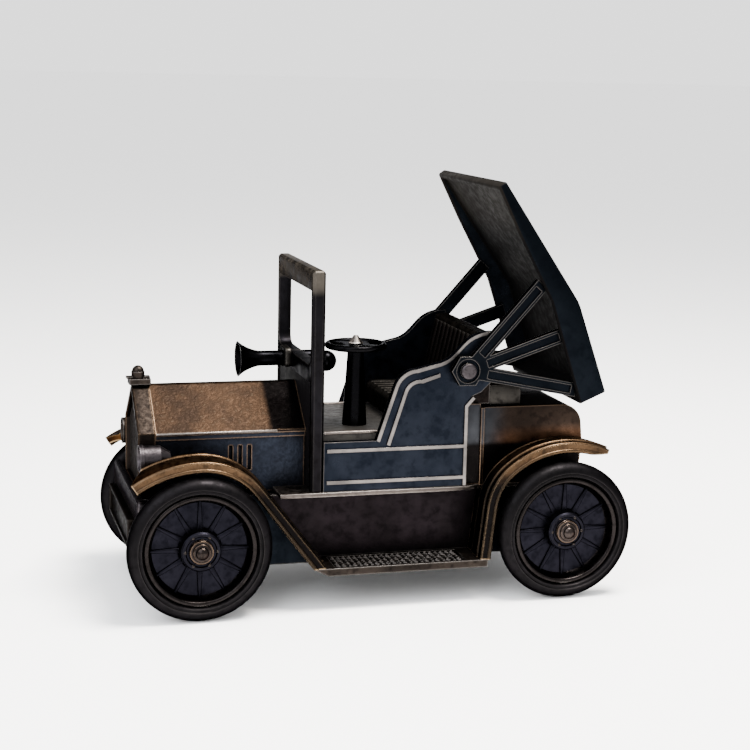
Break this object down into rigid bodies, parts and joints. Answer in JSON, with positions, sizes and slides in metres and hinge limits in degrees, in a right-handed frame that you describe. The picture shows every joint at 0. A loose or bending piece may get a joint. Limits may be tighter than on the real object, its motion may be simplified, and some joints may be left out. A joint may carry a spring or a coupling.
{
  "type": "diecast collector car",
  "caption": "Miniature antique open runabout in patinated cast metal, with turning spoked wheels, a turning steering wheel and a roof that tips forward over the seat.",
  "frame": {"origin": "on the ground under the middle of the overall box, midway between the two axles' height lines in width and close to midway in length", "axes": "front of the car towards -X, rear towards +X, left side towards -Y, up +Z"},
  "size_m": [0.082, 0.0408, 0.0672],
  "materials": {
    "copper": "satin",
    "bronze": "satin",
    "dull_bronze": "satin",
    "dark_casting": "satin",
    "blue_black": "satin",
    "gloss_black": "gloss",
    "wheel_web": "satin",
    "tyre": "satin",
    "steel": "satin"
  },
  "bodies": {
    "car": {"base_plate": "dark_casting", "base_screws": "steel", "cab_tub": "dark_casting", "chassis_frame": "dark_casting", "dash_board": "dark_casting", "floor_pan": "copper", "front_apron": "dark_casting", "front_fender_left": "copper", "front_fender_right": "copper", "headlight_left": "copper", "headlight_right": "copper", "hood": "copper", "horn_bell": "gloss_black", "horn_bracket": "gloss_black", "horn_bulb": "gloss_black", "luggage_box": "dull_bronze", "number_plate": "dark_casting", "pivot_rivet_left": "steel", "pivot_rivet_right": "steel", "radiator_cap": "copper", "radiator_core": "dark_casting", "radiator_shell": "copper", "rear_deck": "copper", "rear_fender_left": "copper", "rear_fender_right": "copper", "running_board_left": "copper", "running_board_right": "copper", "seat_back": "dull_bronze", "seat_cushion": "dull_bronze", "side_panel_left": "blue_black", "side_panel_right": "blue_black", "splash_apron_left": "dark_casting", "splash_apron_right": "dark_casting", "steering_cap": "gloss_black", "steering_column": "gloss_black", "windshield_frame": "dark_casting"},
    "front_wheelset": {"front_axle": "steel", "wheel_front_left": "wheel_web", "wheel_front_right": "wheel_web", "tyre_front_left": "tyre", "tyre_front_right": "tyre", "hub_cap_front_left": "bronze", "hub_cap_front_right": "bronze"},
    "rear_wheelset": {"rear_axle": "steel", "wheel_rear_left": "wheel_web", "wheel_rear_right": "wheel_web", "tyre_rear_left": "tyre", "tyre_rear_right": "tyre", "hub_cap_rear_left": "bronze", "hub_cap_rear_right": "bronze"},
    "roof": {"roof_shell": "blue_black", "roof_bracket_left": "blue_black", "roof_bracket_right": "blue_black"},
    "steering": {"steering_wheel": "gloss_black"}
  },
  "joints": [
    {"name": "roof_hinge", "type": "hinge", "parent": "car", "child": "roof", "pos_m": [0.0135, 0, 0.0372], "axis": [0, 1, 0], "range_deg": [-64, 0]},
    {"name": "front_axle_spin", "type": "hinge", "parent": "car", "child": "front_wheelset", "pos_m": [-0.02975, 0, 0.01125], "axis": [0, 1, 0], "continuous": true},
    {"name": "rear_axle_spin", "type": "hinge", "parent": "car", "child": "rear_wheelset", "pos_m": [0.02975, 0, 0.01125], "axis": [0, 1, 0], "continuous": true},
    {"name": "steering_wheel_spin", "type": "hinge", "parent": "car", "child": "steering", "pos_m": [-0.0026, -0.0055, 0.0403], "axis": [0, 0, 1], "continuous": true}
  ]
}
